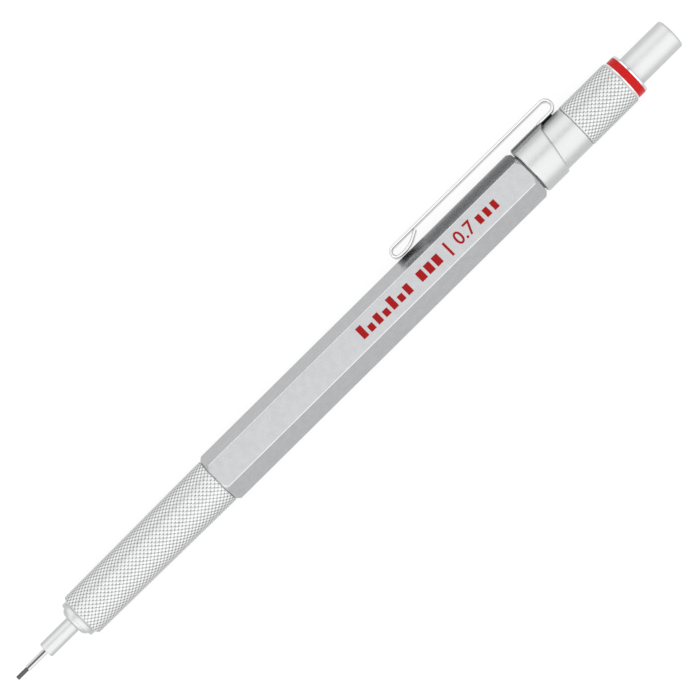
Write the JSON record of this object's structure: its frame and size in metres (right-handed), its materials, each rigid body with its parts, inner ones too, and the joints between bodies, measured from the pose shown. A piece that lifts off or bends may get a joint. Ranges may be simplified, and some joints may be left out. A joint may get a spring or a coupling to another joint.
{
  "type": "mechanical pencil",
  "caption": "Satin chrome mechanical drafting pencil with a knurled grip, hexagonal barrel, sprung pocket clip, lead-grade indicator ring and push button.",
  "frame": {"origin": "on the pencil's axis, at the front end of the fixed guide sleeve", "axes": "+X along the axis from the writing tip to the push button, +Y towards the pocket clip, which lies over a corner of the hexagon, +Z out of the printed flat, so that the opposite flat faces down"},
  "size_m": [0.1433, 0.0116, 0.0085],
  "materials": {
    "satin_chrome": "satin",
    "bright_steel": "satin",
    "spring_steel": "polished",
    "brass": "satin",
    "graphite": "satin",
    "black_rubber": "matte",
    "clear_grey_plastic": "satin",
    "white_vinyl": "matte",
    "drum_white": "satin",
    "signal_red": "satin",
    "print_red": "satin"
  },
  "bodies": {
    "root": {"hex_barrel": "satin_chrome", "grip_sleeve": "satin_chrome", "spring_stop": "brass", "return_spring": "spring_steel", "barrel_bush": "brass", "clip_band": "satin_chrome", "indicator_sleeve": "satin_chrome"},
    "mechanism": {"clutch_shank": "brass", "tube_connector": "bright_steel", "lead_tube": "clear_grey_plastic", "spare_leads": "graphite"},
    "push_cap": {"push_button": "satin_chrome"},
    "eraser_unit": {"eraser_holder": "bright_steel", "eraser": "white_vinyl"},
    "clutch_ring_body": {"clutch_ring": "brass"},
    "lead_body": {"lead": "graphite"},
    "jaw_1": {"clutch_jaw_1": "brass"},
    "jaw_2": {"clutch_jaw_2": "brass"},
    "jaw_3": {"clutch_jaw_3": "brass"},
    "nose_thread": {"lead_retainer": "black_rubber"},
    "nose": {"nose_cone": "satin_chrome", "guide_sleeve": "bright_steel"},
    "indicator": {"indicator_knob": "satin_chrome", "grade_drum": "drum_white", "friction_ring": "black_rubber", "red_ring": "signal_red", "end_collar": "satin_chrome"},
    "clip_spring": {"clip_arm": "spring_steel"}
  },
  "joints": [
    {"name": "button_press", "type": "slide", "parent": "root", "child": "mechanism", "axis": [-1, 0, 0], "range_m": [0, 0.003], "stiffness_N_per_m": 500, "springref_m": -0.004, "deforming": ["return_spring"]},
    {"name": "cap_pull", "type": "slide", "parent": "mechanism", "child": "push_cap", "axis": [1, 0, 0], "range_m": [0, 0.024]},
    {"name": "eraser_pull", "type": "slide", "parent": "mechanism", "child": "eraser_unit", "axis": [1, 0, 0], "range_m": [0, 0.009]},
    {"name": "ring_follow", "type": "slide", "parent": "root", "child": "clutch_ring_body", "axis": [-1, 0, 0], "range_m": [0, 0.00075]},
    {"name": "lead_feed", "type": "slide", "parent": "root", "child": "lead_body", "axis": [-1, 0, 0], "range_m": [0, 0.00075]},
    {"name": "jaw_1_open", "type": "hinge", "parent": "mechanism", "child": "jaw_1", "pos_m": [0.024, 0, 0.00075], "axis": [0, 1, 0], "range_deg": [0, 1.2]},
    {"name": "jaw_2_open", "type": "hinge", "parent": "mechanism", "child": "jaw_2", "pos_m": [0.024, -0.00065, -0.00038], "axis": [0, -0.5, 0.866], "range_deg": [0, 1.2]},
    {"name": "jaw_3_open", "type": "hinge", "parent": "mechanism", "child": "jaw_3", "pos_m": [0.024, 0.00065, -0.00038], "axis": [0, -0.5, -0.866], "range_deg": [0, 1.2]},
    {"name": "nose_advance", "type": "slide", "parent": "root", "child": "nose_thread", "axis": [-1, 0, 0], "range_m": [0, 0.004]},
    {"name": "nose_turn", "type": "hinge", "parent": "nose_thread", "child": "nose", "pos_m": [0.01, 0, 0], "axis": [-1, 0, 0], "range_deg": [0, 2880]},
    {"name": "knob_turn", "type": "hinge", "parent": "root", "child": "indicator", "pos_m": [0.125, 0, 0], "axis": [1, 0, 0], "continuous": true},
    {"name": "clip_flex", "type": "hinge", "parent": "root", "child": "clip_spring", "pos_m": [0.1188, 0.00433, 0], "axis": [0, 0, -1], "range_deg": [0, 4], "stiffness_Nm_per_rad": 1.3, "springref_deg": -1.72}
  ],
  "couplings": [
    {"joint": "eraser_pull", "follows": "cap_pull", "ratio": 0.375},
    {"joint": "ring_follow", "follows": "button_press", "ratio": 0.25},
    {"joint": "lead_feed", "follows": "button_press", "ratio": 0.25},
    {"joint": "jaw_1_open", "follows": "button_press", "rad_per_m": 6.9813},
    {"joint": "jaw_2_open", "follows": "button_press", "rad_per_m": 6.9813},
    {"joint": "jaw_3_open", "follows": "button_press", "rad_per_m": 6.9813},
    {"joint": "nose_turn", "follows": "nose_advance", "rad_per_m": 12566}
  ]
}
